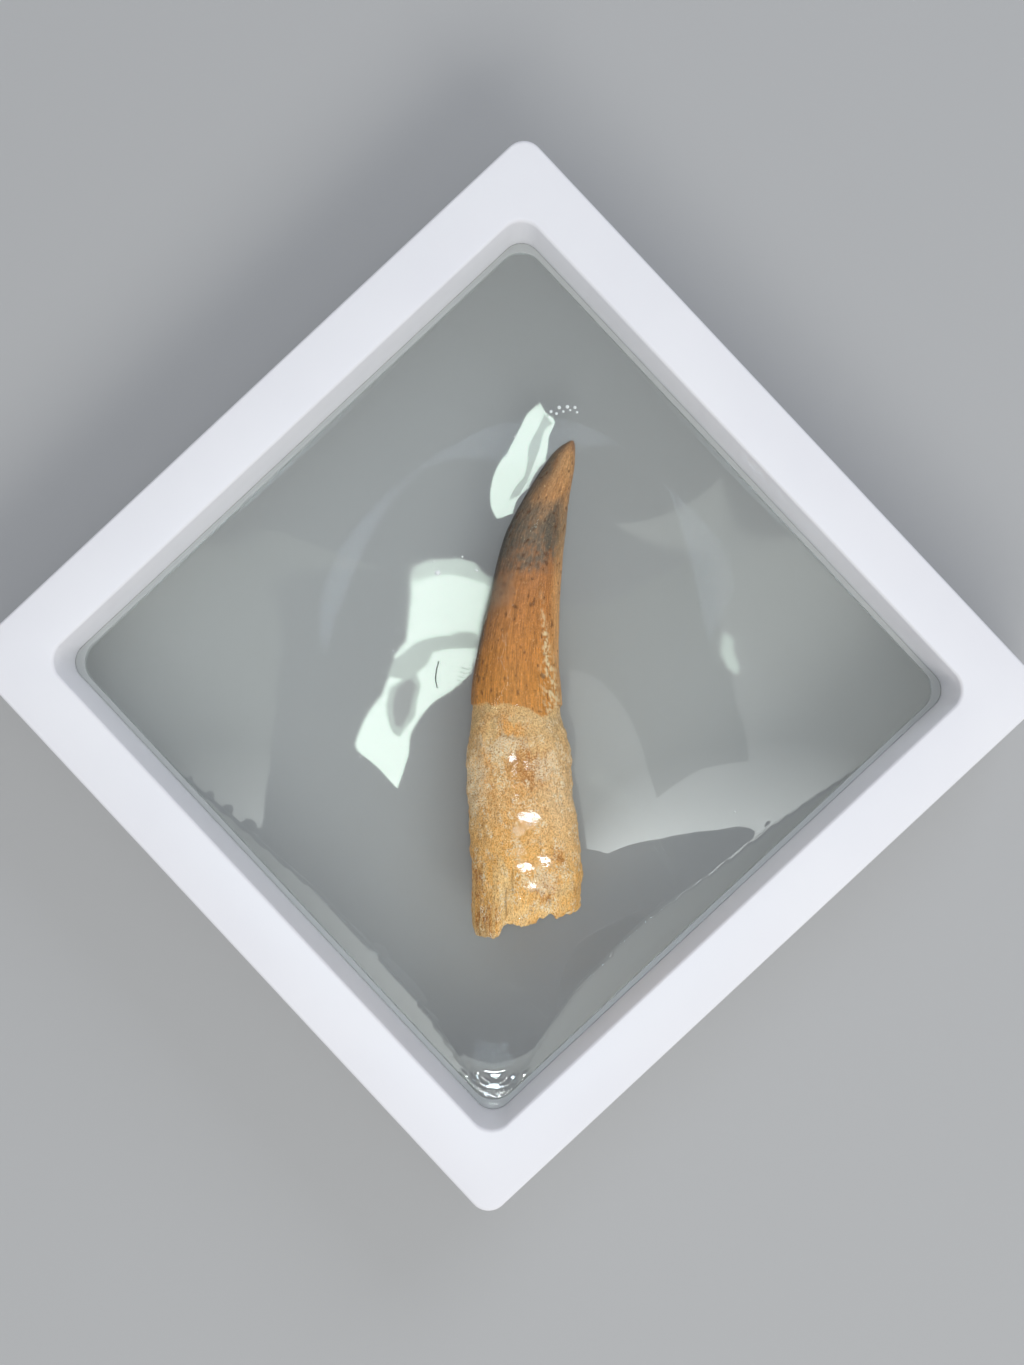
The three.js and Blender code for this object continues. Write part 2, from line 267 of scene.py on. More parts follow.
# %% Stations of the tooth, from the tip
tip_reach = 34.45
tooth_length = 72.8
crown_length = 38.5
ring_sides = 28
ring_count = 46
stations = [
    (0.0, 9.45, 0.25),
    (0.35, 9.15, 0.75),
    (0.9, 8.8, 1.2),
    (2.0, 8.2, 1.7),
    (4.0, 7.5, 2.2),
    (6.5, 6.45, 2.8),
    (9.0, 5.5, 3.3),
    (11.3, 4.75, 3.85),
    (13.5, 4.15, 4.28),
    (16.5, 3.5, 4.55),
    (19.5, 3.0, 4.8),
    (23.2, 2.4, 5.15),
    (27.0, 1.95, 5.5),
    (30.4, 1.6, 5.8),
    (33.8, 1.35, 6.1),
    (36.6, 1.3, 6.28),
    (38.2, 1.32, 6.33),
    (39.4, 1.4, 6.36),
    (41.2, 1.6, 6.7),
    (43.2, 1.7, 7.25),
    (45.4, 1.62, 7.6),
    (47.6, 1.6, 7.62),
    (49.6, 1.65, 7.62),
    (52.2, 1.95, 7.8),
    (54.7, 2.25, 8.0),
    (57.8, 2.5, 8.1),
    (60.7, 2.8, 8.2),
    (63.5, 3.1, 8.38),
    (65.9, 2.8, 8.1),
    (68.2, 2.7, 7.95),
    (69.8, 2.7, 7.9),
]
crown_flatness = 0.86
root_flatness = 0.8


def flatness_at(along):
    share = float(smoothstep(np.array(along), crown_length - 4, crown_length + 12))
    return crown_flatness + share * (root_flatness - crown_flatness)


# %% Extrude the rings from tip to root
station_row = np.array(stations)
ring_shares = np.linspace(0, 1, ring_count) ** 1.25
ring_places = station_row[-1, 0] * ring_shares
rings = [
    (place, np.interp(place, *station_row[:, [0, 1]].T), np.interp(place, *station_row[:, [0, 2]].T))
    for place in ring_places
]
clear_selection()
first_along, first_middle, first_half = rings[0]
bpy.ops.mesh.primitive_circle_add(
    vertices=ring_sides,
    radius=first_half * MM,
    fill_type="NOTHING",
    location=(first_middle * MM, tip_reach * MM, mid_depth),
    rotation=(math.pi / 2, 0, 0),
    enter_editmode=True,
)
tooth = bpy.context.object
tooth.name = "fossil_tooth"
place = Vector((first_middle * MM, tip_reach * MM, mid_depth))
half_width, half_tall = first_half, first_half
for along, middle, half in rings[1:]:
    next_place = Vector((middle * MM, (tip_reach - along) * MM, mid_depth))
    bpy.ops.mesh.extrude_region_move(TRANSFORM_OT_translate={"value": next_place - place})
    next_tall = half * flatness_at(along)
    bpy.ops.transform.resize(
        value=(half / half_width, 1, next_tall / half_tall), center_override=next_place
    )
    place, half_width, half_tall = next_place, half, next_tall
for shrink in (0.86, 0.72, 0.6, 0.5):
    bpy.ops.mesh.extrude_region_move()
    bpy.ops.transform.resize(value=(shrink, 1, shrink), center_override=place)
bpy.ops.mesh.extrude_region_move()
bpy.ops.mesh.merge(type="CENTER")
bpy.ops.mesh.select_all(action="DESELECT")
bpy.ops.object.mode_set(mode="OBJECT")
rim = [v for v in tooth.data.vertices if v.co.y > (tip_reach - 0.01) * MM]
for vertex in rim:
    vertex.select = True
bpy.ops.object.mode_set(mode="EDIT")
bpy.ops.mesh.extrude_region_move(TRANSFORM_OT_translate={"value": (0.05 * MM, 0.12 * MM, 0)})
bpy.ops.mesh.merge(type="CENTER")
bpy.ops.mesh.select_all(action="SELECT")
bpy.ops.mesh.normals_make_consistent(inside=False)
bpy.ops.object.mode_set(mode="OBJECT")
apply_modifier(tooth, "SUBSURF", levels=3, render_levels=3)
select_only(tooth)
bpy.ops.object.transform_apply(location=True, rotation=True, scale=True)
print("tooth vertices:", len(tooth.data.vertices))

# %% [markdown]
# ## The tooth: its surface
# The enamel has fine lengthwise grooves, small pits and a faint keel on both edges, and it ends in a
# low ledge above the root. The root is granular and lumpy, and it broke off in steps with splinters.
# A bump map alone would leave the outline smooth, so these forms are moved into the mesh itself,
# with noise that is stretched along the tooth where the growth lines run that way.

# %% Read where every vertex lies on the tooth
co = coordinates(tooth) / MM
lift = co[:, 2] - mid_depth / MM
along = tip_reach - co[:, 1]
middle_here = np.interp(along, station_row[:, 0], station_row[:, 1])
half_here = np.interp(along, station_row[:, 0], station_row[:, 2])
across = co[:, 0] - middle_here
angle = np.arctan2(lift, across)
share_across = np.clip(across / half_here, -1, 1)


def noise_at(points, scale=1.0, offset=0.0):
    """Smooth noise between -1 and 1 at each row of points."""
    shift = Vector((offset, offset * 1.7, -offset))
    return np.array([noise.noise(Vector(p) * scale + shift) for p in points])


around_mm = np.stack([np.cos(angle) * half_here, np.sin(angle) * half_here, along], 1)
grain_way = around_mm * np.array([1, 1, 0.12])
broad = noise_at(around_mm, 0.16, 3.0)
lumps = noise_at(around_mm, 0.42, 11.0)
grains = noise_at(around_mm, 1.3, 5.0)
fine_grains = noise_at(around_mm, 2.7, 17.0)
fibres = noise_at(grain_way, 1.9, 7.0)
fine_fibres = noise_at(grain_way, 4.2, 23.0)
print("noise between", round(float(grains.min()), 2), "and", round(float(grains.max()), 2))

# %% The ledge where the enamel ends
across_tooth = across + middle_here
upper_side = (lift > 0).astype(float)
enamel_patch = bump_of(across_tooth, 5.4, 1.9) * upper_side
enamel_end = crown_length + 0.1 + 0.5 * broad + 0.45 * lumps + 0.18 * grains + 1.7 * enamel_patch
enamel = 1 - smoothstep(along - enamel_end, -0.1, 0.14)
on_root = 1 - enamel
near_tip = smoothstep(along, 0.3, 5)

# %% Grooves, keels, pits and crust of the crown
groove_count = 44
wander = 1.6 * noise_at(around_mm * np.array([0.2, 0.2, 0.06]), 1.0, 31.0)
grooves = 0.5 * np.cos(groove_count * angle + wander * 2)
crown_relief = near_tip * (0.02 * grooves + 0.045 * fibres + 0.03 * fine_fibres + 0.015 * fine_grains)
crown_relief += 0.17 * np.abs(np.cos(angle)) ** 30 * near_tip
pits = smoothstep(noise_at(around_mm, 1.35, 41.0), 0.4, 0.58) * near_tip
crown_relief -= 0.1 * pits
crust_middle = 5.2 + 0.095 * (along - 25)
crust_half = 0.35 + 0.9 * smoothstep(along, 26, 38)
crust = bump_of(across_tooth, crust_middle, crust_half) * upper_side
crust *= smoothstep(along, 20, 30) * smoothstep(grains + fine_grains, -0.1, 0.45)
crown_relief += 0.09 * crust
ledge = 0.22 * smoothstep(along, crown_length - 6, crown_length - 1)

# %% Lumps, grains, pores and cracks of the root
root_relief = 0.3 * lumps + 0.13 * grains + 0.09 * fine_grains + 0.25 * broad
pores = smoothstep(noise_at(around_mm, 1.6, 53.0), 0.34, 0.58)
root_relief -= 0.1 * pores
near_break = smoothstep(along, 60, 68)
root_relief += near_break * (0.1 * fibres + 0.07 * fine_fibres)
split_lines = ((-0.3, 66.6, 2.0), (0.8, 64.0, 1.8), (6.3, 67.0, 1.5))
cracks = np.zeros(len(co))
for line_across, line_middle, line_half in split_lines:
    wobble = line_across + 0.4 * noise_at(around_mm * np.array([0, 0, 0.45]), 1.0, line_across)
    shape = bump_of(across_tooth, wobble, 0.14) * upper_side
    cracks += shape * (1 - smoothstep(np.abs(along - line_middle), 0.7 * line_half, line_half))
along_split = np.stack([across_tooth, 0 * lift, 0 * lift], 1)
cross_middle = 43.2 + 0.33 * across_tooth + 0.3 * noise_at(along_split, 0.9, 3.0)
cross_crack = bump_of(along, cross_middle, 0.17) * bump_of(across_tooth, 0.2, 1.5) * upper_side
cracks = np.clip(cracks + cross_crack, 0, 1)
root_relief -= 0.14 * cracks

# %% Move the vertices out along their normals
normals = np.zeros(len(co) * 3)
tooth.data.vertices.foreach_get("normal", normals)
normals = normals.reshape(-1, 3)
relief = enamel * (crown_relief + ledge) + on_root * root_relief
co = co + normals * relief[:, None]

# %% Break the end of the root in steps
break_points = np.array(
    [
        (-5.3, 71.2), (-4.5, 72.6), (-1.9, 72.8), (-1.2, 72.4), (-0.6, 71.4), (0.2, 70.7),
        (2.2, 70.9), (4.0, 70.7), (4.7, 69.8), (6.4, 69.5), (7.4, 69.9), (8.6, 69.4), (10.6, 69.0),
    ]
)
break_plane = stations[-1][0]
across_here = co[:, 0]
ragged = np.interp(across_here, break_points[:, 0], break_points[:, 1])
ragged -= 0.9 * np.abs(noise_at(np.stack([across_here, lift * 0.8, np.zeros(len(co))], 1), 0.7, 61.0))
inner = 1 - np.clip(np.hypot(across / half_here, lift / (half_here * root_flatness)), 0, 1)
ragged -= 1.8 * smoothstep(inner, 0.1, 0.8) + 0.35 * np.abs(grains) + 0.3 * np.abs(fibres)
pull = smoothstep(along, 62, break_plane)
co[:, 1] = tip_reach - (along + pull * (ragged - break_plane))

# %% Lay the tooth along the diagonal and keep what the material needs
lay = np.array([[math.cos(turn), -math.sin(turn), 0], [math.sin(turn), math.cos(turn), 0], [0, 0, 1]])
set_coordinates(tooth, (co @ lay.T) * MM)
store(tooth, "along_mm", along)
store(tooth, "across_mm", across_tooth)
store(tooth, "share_across", share_across)
store(tooth, "enamel", enamel)
store(tooth, "upper_side", upper_side)
store(tooth, "pits", np.clip(enamel * pits + on_root * pores, 0, 1))
store(tooth, "cracks", cracks * on_root)
store(tooth, "crust", crust * enamel)
store(tooth, "around_x", around_mm[:, 0])
store(tooth, "around_y", around_mm[:, 1])
select_only(tooth)
bpy.ops.object.shade_smooth()
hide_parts("tooth")
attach(tooth, "back_half")

# %% [markdown]
# ## The tooth: its colours
# The fossil is brown because minerals filled it. The tip is tan, a dark grey stain crosses the crown
# below it, and the enamel then warms to amber. The root is paler and speckled like coarse sand.
# The colours follow numbers kept on the mesh, so the pattern bends with the tooth, and noise breaks
# up every border, because no stain ends in a straight line.

# %% Numbers that the tooth's colours follow
class ToothTree(Tree):
    """The tooth's node tree, with its place numbers and noises ready to use."""

    def __init__(self):
        super().__init__("fossil_enamel_and_root")
        self.along = self.attribute("along_mm")
        self.across = self.attribute("across_mm")
        self.share = self.attribute("share_across")
        self.enamel = self.attribute("enamel")
        self.upper = self.attribute("upper_side")
        self.place = self.node(
            "CombineXYZ", {0: self.attribute("around_x"), 1: self.attribute("around_y"), 2: self.along}
        ).outputs[0]
        drawn_out = self.node("VectorMath", {0: self.place, 1: (1, 1, 0.09)}, operation="MULTIPLY")
        self.streaks = self.noise(drawn_out.outputs[0], 1.4, 3, 0.6)
        self.fine_streaks = self.noise(drawn_out.outputs[0], 4.6, 2, 0.6)
        self.patches = self.noise(self.place, 0.33, 2, 0.55)
        self.mottle = self.noise(self.place, 1.25, 3, 0.6)
        self.specks = self.noise(self.place, 3.6, 2, 0.65)
        shift = self.span(self.patches, 0.3, 0.7, -1.5, 1.5)
        self.bent = self.math("ADD", self.along, shift)
        self.bent = self.math("ADD", self.bent, self.span(self.streaks, 0.3, 0.7, -1.1, 1.1))

    def times(self, *values):
        product = values[0]
        for value in values[1:]:
            product = self.math("MULTIPLY", product, value)
        return product

    def shade(self, colour, factor):
        """Darkens or lightens a colour by a factor."""
        made = self.node("VectorMath", {0: colour}, operation="SCALE")
        self.link(factor, made.inputs["Scale"])
        return made.outputs[0]

    def spot(self, across, along, half_across, half_along):
        """A soft oval on the upper side about a place of the tooth, 1 in its middle."""
        a = self.math("DIVIDE", self.math("SUBTRACT", self.across, across), half_across)
        b = self.math("DIVIDE", self.math("SUBTRACT", self.bent, along), half_along)
        far = self.math("ADD", self.math("MULTIPLY", a, a), self.math("MULTIPLY", b, b))
        return self.times(self.span(far, 0.3, 1.5, 1.0, 0.0), self.upper)

    def worms(self, source, width):
        """Thin winding lines, where a noise passes through its middle value."""
        away = self.math("ABSOLUTE", self.math("SUBTRACT", source, 0.5))
        return self.span(away, 0.3 * width, width, 1.0, 0.0)


# %% Colours of the enamel
def enamel_colour(tree):
    along = tree.along
    colour = tree.ramp(
        tree.math("DIVIDE", tree.bent, 40.0),
        [
            (0.0, srgb(163, 121, 85)),
            (0.07, srgb(192, 145, 96)),
            (0.19, srgb(186, 136, 87)),
            (0.28, srgb(150, 117, 85)),
            (0.38, srgb(146, 111, 80)),
            (0.45, srgb(170, 115, 70)),
            (0.6, srgb(188, 123, 64)),
            (0.82, srgb(199, 131, 60)),
            (1.0, srgb(205, 139, 64)),
        ],
    )
    stain = tree.times(tree.span(tree.bent, 8.0, 12.5), tree.span(tree.bent, 16.5, 19.5, 1.0, 0.0))
    stain = tree.times(stain, tree.span(tree.mottle, 0.36, 0.56, 0.2, 0.8))
    colour = tree.mix(stain, colour, srgb(106, 98, 84))
    colour = tree.mix(tree.times(tree.spot(6.4, 13.4, 1.25, 2.7), 0.85), colour, srgb(90, 82, 69))
    dark_tip = tree.times(tree.span(tree.share, 0.25, -0.4), tree.span(along, 9.0, 5.0))
    dark_tip = tree.times(dark_tip, tree.span(tree.fine_streaks, 0.4, 0.6, 0.35, 0.9))
    colour = tree.mix(dark_tip, colour, srgb(98, 84, 68))
    # The crown's left side turns dark grey: partly a grey-brown stain, partly painted shade of the side away from
    # the light.
    left = tree.times(tree.span(tree.share, -0.2, -0.8), tree.span(along, 0.2, 3.0))
    left = tree.times(left, tree.span(tree.bent, 20.0, 33.0, 1.0, 0.0))
    left = tree.times(left, tree.span(tree.streaks, 0.35, 0.55, 0.55, 1.0))
    colour = tree.mix(tree.times(left, 0.85), colour, srgb(90, 86, 76))
    # A near-black line along the crown's left outline: painted shade, where the gap under the film and the unlit
    # edge fall dark.
    rim = tree.times(tree.span(tree.share, -0.86, -0.97), tree.span(along, 30.0, 38.0, 1.0, 0.35))
    colour = tree.mix(tree.times(rim, 0.9), colour, srgb(46, 43, 38))
    right = tree.times(tree.span(tree.share, 0.7, 0.93), tree.span(along, 6.0, 20.0))
    colour = tree.mix(tree.times(right, 0.55), colour, srgb(230, 178, 115))

    dark_streaks = tree.span(tree.streaks, 0.5, 0.7, 0, 0.4)
    colour = tree.mix(dark_streaks, colour, srgb(137, 90, 48))
    colour = tree.shade(colour, tree.span(tree.fine_streaks, 0.3, 0.7, 0.74, 1.28))
    colour = tree.shade(colour, tree.span(tree.specks, 0.28, 0.72, 0.86, 1.26))
    dots = tree.times(tree.span(tree.specks, 0.64, 0.7), tree.span(tree.mottle, 0.45, 0.6))
    colour = tree.mix(tree.times(dots, 0.5), colour, srgb(247, 213, 156))
    return tree.mix(tree.times(tree.attribute("crust"), 0.85), colour, srgb(247, 224, 175))


# %% Colours of the root
rust_places = (
    (7.0, 65.5, 3.4, 2.2), (-3.4, 67.4, 2.2, 1.8), (-4.6, 63.0, 1.6, 2.6), (3.4, 48.0, 3.0, 3.4),
    (7.6, 60.8, 1.3, 2.0),
)
cream_places = ((-4.6, 50.0, 1.8, 3.6), (-1.0, 45.0, 4.0, 1.3), (5.6, 47.5, 1.8, 1.5), (4.8, 64.2, 2.6, 1.6))


def root_colour(tree):
    colour = tree.ramp(
        tree.mottle,
        [
            (0.3, srgb(203, 146, 84)),
            (0.42, srgb(222, 168, 102)),
            (0.52, srgb(232, 182, 118)),
            (0.62, srgb(240, 196, 136)),
            (0.74, srgb(247, 216, 165)),
        ],
    )
    top = tree.span(tree.bent, 41.0, 48.0, 0.75, 0.0)
    colour = tree.mix(top, colour, srgb(218, 183, 127))
    grey = tree.times(tree.span(tree.patches, 0.5, 0.62), tree.span(tree.bent, 42.0, 50.0, 0.35, 0.0))
    colour = tree.mix(grey, colour, srgb(172, 150, 112))
    colour = tree.mix(tree.times(tree.spot(0.9, 42.1, 2.2, 1.3), 0.75), colour, srgb(236, 164, 78))
    right = tree.times(tree.span(tree.share, 0.15, 0.6), tree.span(tree.bent, 64.0, 59.0), 0.75)
    right = tree.times(right, tree.span(tree.bent, 44.0, 55.0, 0.2, 1.0))
    colour = tree.mix(right, colour, srgb(238, 205, 158))
    tawny = tree.times(tree.span(tree.share, 0.4, -0.1), tree.span(tree.patches, 0.42, 0.55), 0.45)
    colour = tree.mix(tawny, colour, srgb(222, 158, 86))
    left = tree.span(tree.share, -0.6, -0.9, 0.0, 0.4)
    colour = tree.mix(left, colour, srgb(209, 173, 121))
    low_end = tree.span(tree.bent, 52.0, 62.0, 0.0, 0.75)
    colour = tree.mix(low_end, colour, srgb(247, 184, 94))
    for rust in rust_places:
        rusty = tree.times(tree.spot(*rust), tree.span(tree.mottle, 0.42, 0.56, 0.15, 0.95))
        colour = tree.mix(rusty, colour, srgb(180, 114, 50))
    colour = tree.mix(tree.times(tree.spot(-3.4, 70.8, 2.2, 2.6), 0.6), colour, srgb(166, 142, 108))
    fibre = tree.times(tree.span(tree.streaks, 0.5, 0.6), tree.span(tree.bent, 59.0, 64.0), 0.45)
    colour = tree.mix(fibre, colour, srgb(247, 214, 150))
    for pale in ((-0.4, 64.8, 1.5, 2.6), (1.2, 69.0, 2.6, 1.7), (8.3, 65.6, 1.2, 2.2), (5.4, 68.2, 1.6, 1.0)):
        colour = tree.mix(tree.times(tree.spot(*pale), 0.6), colour, srgb(248, 212, 150))

    colour = tree.shade(colour, tree.span(tree.specks, 0.3, 0.7, 0.8, 1.34))
    grit = tree.noise(tree.place, 5.5, 1, 0.5)
    colour = tree.mix(tree.span(grit, 0.5, 0.68, 0.0, 0.55), colour, srgb(252, 219, 160))
    colour = tree.mix(tree.span(grit, 0.5, 0.32, 0.0, 0.6), colour, srgb(158, 100, 46))
    coarse = tree.noise(tree.place, 2.0, 1, 0.5)
    calm = tree.span(tree.bent, 40.0, 47.0, 0.4, 1.0)
    clusters = tree.noise(tree.place, 0.55, 1, 0.5)
    pale_worms = tree.times(tree.worms(coarse, 0.06), tree.span(clusters, 0.5, 0.6), calm)
    for cream in cream_places:
        winding = tree.times(tree.worms(tree.specks, 0.08), tree.spot(*cream))
        pale_worms = tree.math("MAXIMUM", pale_worms, winding)
    colour = tree.mix(tree.times(pale_worms, 0.85), colour, srgb(252, 236, 200))
    dark_grains = tree.times(tree.span(tree.specks, 0.42, 0.33), tree.span(clusters, 0.42, 0.54), calm)
    return tree.mix(tree.times(dark_grains, 0.6), colour, srgb(163, 104, 48))


# %% Material of the tooth
def tooth_material():
    tree = ToothTree()
    colour = tree.mix(tree.enamel, root_colour(tree), enamel_colour(tree))
    pit_share = tree.span(tree.enamel, 0.0, 1.0, 0.2, 0.65)
    colour = tree.mix(tree.times(tree.attribute("pits"), pit_share), colour, srgb(96, 60, 34))
    colour = tree.mix(tree.times(tree.attribute("cracks"), 0.5), colour, srgb(112, 74, 42))
    rough = tree.span(tree.enamel, 0.0, 1.0, 0.8, 0.5)
    rough = tree.math("ADD", rough, tree.span(tree.mottle, 0.3, 0.7, -0.07, 0.07))
    root_grain = tree.math("ADD", tree.mottle, tree.times(tree.specks, 0.9))
    enamel_grain = tree.math("ADD", tree.times(tree.fine_streaks, 0.7), tree.times(tree.specks, 0.35))
    height = tree.node("Mix", {0: tree.enamel, 2: root_grain, 3: enamel_grain}).outputs[0]
    bump = tree.node("Bump", {"Strength": 0.6, "Distance": 0.09 * MM, "Height": height}).outputs[0]
    shader = tree.node("BsdfPrincipled", {"Base Color": colour, "Roughness": rough, "Normal": bump})
    shader.inputs["Specular IOR Level"].default_value = 0.35
    return tree.finish(shader.outputs[0])


tooth.data.materials.clear()
tooth.data.materials.append(tooth_material())

# %% [markdown]
# ## The films: their form
# Each film is a stretchy clear sheet welded to its half of the frame. Where the tooth doesn't push it,
# it pulls itself into the flattest shape it can, so its height evens out like heat in a plate. Cloth
# simulation would need many steps to settle a tight sheet, and solving that even shape on a grid is
# exact and takes a second. The grid is an ordinary primitive whose points are then lifted.

# %% Sizes of the films
film_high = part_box("front_film")[1]
bonded_half = film_high[0]
window_half = 45.6 * MM
window_radius = 3.0 * MM
rim_width = 0.75 * MM
rim_height = 0.9 * MM
clear_half = window_half - rim_width
clear_radius = 3.6 * MM
rim_play = 0.03 * MM
film_thickness = 0.12 * MM
film_play = 0.12 * MM
film_cells = 212
film_base = 0.2 * MM


# %% Where the two films stick together
peel_line = np.array(
    [
        (-59.1, -3.3), (-48.0, -14.0), (-36.3, -24.0), (-27.5, -31.6), (-18.6, -40.8), (-11.3, -49.4),
        (-4.7, -59.4), (0.9, -59.7), (4.8, -53.2), (10.4, -45.0), (19.5, -35.9), (29.7, -28.6), (38.8, -21.7), (48.7, -15.0),
        (53.8, -11.7),
    ]
)
wet_spots = (
    (0.8, -11.9, 0.8, 0.8), (3.0, -12.9, 0.4, 0.9), (3.4, -20.3, 1.7, 0.9),
    (5.6, -26.8, 1.2, 1.1), (2.7, -27.5, 1.5, 0.8), (3.8, -30.4, 1.0, 0.7),
)
ripple_middle = (-1.8, -57.0)
ripple_pitch = 1.5
ripple_height = 0.07 * MM


def in_the_picture(x, y):
    """How far across and up the picture a point of the frame lies, in mm."""
    across_picture = (x * math.cos(turn) + y * math.sin(turn)) / MM
    up_picture = (y * math.cos(turn) - x * math.sin(turn)) / MM
    return across_picture, up_picture


def ripples(x, y):
    """Low folds round the corner below the tooth, where the film bunches up."""
    u, v = in_the_picture(x, y)
    away = np.hypot(u - ripple_middle[0], v - ripple_middle[1])
    near_corner = smoothstep(-v, 57.5, 59.5)
    return ripple_height * (1 + np.sin(2 * math.pi * away / ripple_pitch)) * near_corner


# %% How high the tooth stands under each point of a film
def tooth_heights(points, up):
    """The tooth's height from the parting plane under each (x, y), or 0 beside it."""
    tree = bvhtree.BVHTree.FromObject(tooth, bpy.context.evaluated_depsgraph_get())
    start = mid_depth + up * 30 * MM
    heights = np.zeros(len(points))
    for index, (x, y) in enumerate(points):
        hit = tree.ray_cast(Vector((x, y, start)), Vector((0, 0, -up)))
        if hit[0] is not None:
            heights[index] = max(0.0, up * (hit[0].z - mid_depth))
    return heights


def inside_window(x, y, half, radius):
    """True inside a square with rounded corners."""
    dx = np.maximum(np.abs(x) - (half - radius), 0)
    dy = np.maximum(np.abs(y) - (half - radius), 0)
    return np.hypot(dx, dy) < radius


def relax(rise, floor, fixed, rounds):
    """Evens a sheet out over what lifts it, round by round, and holds it down where it is fixed."""
    for _ in range(rounds):
        mean = rise.copy()
        mean[1:-1, 1:-1] = (rise[:-2, 1:-1] + rise[2:, 1:-1] + rise[1:-1, :-2] + rise[1:-1, 2:]) / 4
        rise = np.maximum(mean, floor)
        rise[fixed] = 0
    return rise


def film_rise(up):
    """The height of a film above its rim, on a grid of film_cells by film_cells."""
    line = np.linspace(-clear_half, clear_half, film_cells + 1)
    x, y = np.meshgrid(line, line, indexing="ij")
    fixed = ~inside_window(x, y, clear_half, clear_radius)
    u, v = in_the_picture(x, y)
    fixed |= v < np.interp(u, peel_line[:, 0], peel_line[:, 1])
    points = np.stack([x.ravel(), y.ravel()], 1)
    heights = tooth_heights(points, up).reshape(x.shape)
    around_here = heights.copy()
    for dx in (-1, 0, 1):
        for dy in (-1, 0, 1):
            around_here = np.maximum(around_here, np.roll(heights, (dx, dy), (0, 1)))
    floor = np.where(around_here > 0, around_here + film_play - film_base, 0)
    floor[fixed] = 0
    step = 4
    coarse_floor = floor[::step, ::step]
    coarse = relax(coarse_floor, coarse_floor, fixed[::step, ::step], 900)
    places = np.arange(film_cells + 1) / step
    low = np.clip(places.astype(int), 0, coarse.shape[0] - 2)
    part = places - low
    rows = coarse[low] * (1 - part)[:, None] + coarse[low + 1] * part[:, None]
    start = rows[:, low] * (1 - part) + rows[:, low + 1] * part
    start = np.maximum(start, floor)
    start[fixed] = 0
    rise = relax(start, floor, fixed, 1200)
    if up > 0:
        rise = rise + ripples(x, y) * inside_window(x, y, clear_half - 2 * rim_play, clear_radius)
    wet = np.zeros(x.shape)
    for spot_u, spot_v, half_u, half_v in wet_spots if up > 0 else ():
        spot = np.exp(-(((u - spot_u) / half_u) ** 2) - ((v - spot_v) / half_v) ** 2)
        inside = spot > 0.2
        flat = smoothstep(spot, 0.08, 0.3)
        rise = rise + flat * (rise[inside].max() - rise)
        wet = np.maximum(wet, spot)
    resting = (heights > 0) * 1.0
    for axis in (0, 1):
        resting = (np.roll(resting, 1, axis) + 2 * resting + np.roll(resting, -1, axis)) / 4
    wet = smoothstep(wet, 0.2, 0.55) * resting
    return rise, resting - wet, wet


# %% Make a film from a grid
def make_film(name, up):
    clear_selection()
    bpy.ops.mesh.primitive_grid_add(
        x_subdivisions=film_cells, y_subdivisions=film_cells, size=2 * clear_half, location=(0, 0, mid_depth)
    )
    film = bpy.context.object
    film.name = name
    co = coordinates(film)
    rise, resting, wet = film_rise(up)
    pitch = 2 * clear_half / film_cells
    i = np.rint((co[:, 0] + clear_half) / pitch).astype(int)
    j = np.rint((co[:, 1] + clear_half) / pitch).astype(int)
    co[:, 2] = up * (film_base + rise[i, j])
    set_coordinates(film, co)
    store(film, "resting", resting[i, j])
    store(film, "wet", wet[i, j])
    select_only(film)
    bpy.ops.object.mode_set(mode="EDIT")
    bpy.ops.mesh.select_all(action="SELECT")
    bpy.ops.mesh.region_to_loop()
    bpy.ops.mesh.extrude_region_move()
    grow = bonded_half / clear_half
    bpy.ops.transform.resize(value=(grow, grow, 1), center_override=(0, 0, mid_depth))
    bpy.ops.object.mode_set(mode="OBJECT")
    bpy.ops.object.transform_apply(location=True, rotation=True, scale=True)
    apply_modifier(film, "SOLIDIFY", thickness=film_thickness, offset=0.0)
    bpy.ops.object.shade_smooth()
    print(name, "rises", round(float(rise.max()) / MM, 2), "mm")
    return film


films = {1: make_film("front_clear_film", 1), -1: make_film("back_clear_film", -1)}


# %% [markdown]
# ## The films: their rims and marks
# Each film ends in a raised frosted rim, where it was welded to the frame. The front film also has small
# air bubbles, creases and a fine line where it peels off the back film. That line is an opaque light grey
# thread, a painted highlight of the crease. A rim could be swept along a curve, but rounded squares
# bridged one to the next give it exact corners, and the frame needs the same.

# %% Rings of rounded squares
def add_loop(half, radius, z):
    """Adds the outline of a rounded square to the mesh in edit mode."""
    bpy.ops.mesh.select_all(action="DESELECT")
    bpy.ops.mesh.primitive_plane_add(size=2 * half * MM, location=(0, 0, z * MM))
    bpy.ops.mesh.bevel(affect="VERTICES", offset=radius * MM, segments=9)
    bpy.ops.mesh.delete(type="ONLY_FACE")


def select_loops(piece, *loops):
    """Selects the edges whose ends both lie on one of the loops, given as (half side, height) in mm."""
    bpy.ops.object.mode_set(mode="OBJECT")
    co = coordinates(piece) / MM
    reach = np.abs(co[:, :2]).max(1)
    marks = np.zeros(len(co), int)
    for number, (half, z) in enumerate(loops, 1):
        marks[(np.abs(co[:, 2] - z) < 0.01) & (reach < half + 0.01) & (reach > half - 2.2)] = number
    piece.data.vertices.foreach_set("select", np.zeros(len(co), bool))
    piece.data.polygons.foreach_set("select", np.zeros(len(piece.data.polygons), bool))
    for edge in piece.data.edges:
        first, second = (marks[index] for index in edge.vertices)
        edge.select = bool(first and first == second)
    bpy.ops.object.mode_set(mode="EDIT")
    bpy.ops.mesh.select_mode(type="EDGE")


